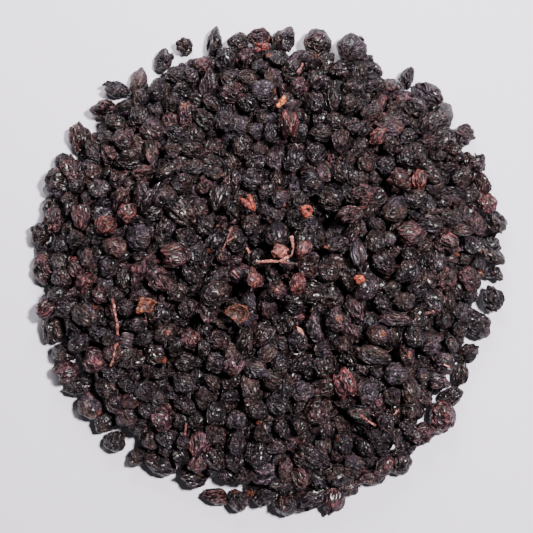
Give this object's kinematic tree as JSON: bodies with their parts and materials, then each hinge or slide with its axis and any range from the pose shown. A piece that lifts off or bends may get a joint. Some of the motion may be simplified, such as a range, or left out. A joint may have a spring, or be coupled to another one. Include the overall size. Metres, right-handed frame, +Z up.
{
  "type": "heap of dried elderberries",
  "caption": "Round, low heap of dried, wrinkled elderberries with a few broken stalks, husks and unripe berries on top, lying on its flat underside.",
  "frame": {"origin": "on the surface the heap lies on, under the middle of its box", "axes": "+Z up from the surface; +Y is away from a viewer who looks down on the heap with +X to the right"},
  "size_m": [0.098, 0.1004, 0.0147],
  "materials": {
    "dried_berry": "wrinkled, satin, with small glints",
    "unripe_berry": "wrinkled, satin",
    "husk": "dry, thin, satin",
    "dry_skin": "dry, thin, satin",
    "seed": "dry, matt",
    "stalk": "dry, fibrous, matt"
  },
  "bodies": {
    "root": {"berry_heap": "dried_berry", "berry_red_pointed": "unripe_berry", "berry_red_long": "unripe_berry", "berry_brown": "unripe_berry", "husk_amber": "husk", "husk_brown": "husk", "skin_orange": "dry_skin", "skin_red": "dry_skin", "seed_orange": "seed", "stalk_forked": "stalk", "stalk_long": "stalk", "stalk_branched": "stalk", "stalk_thin": "stalk", "stalk_short_1": "stalk", "stalk_short_2": "stalk", "stalk_short_3": "stalk", "stalk_short_4": "stalk"}
  },
  "joints": []
}
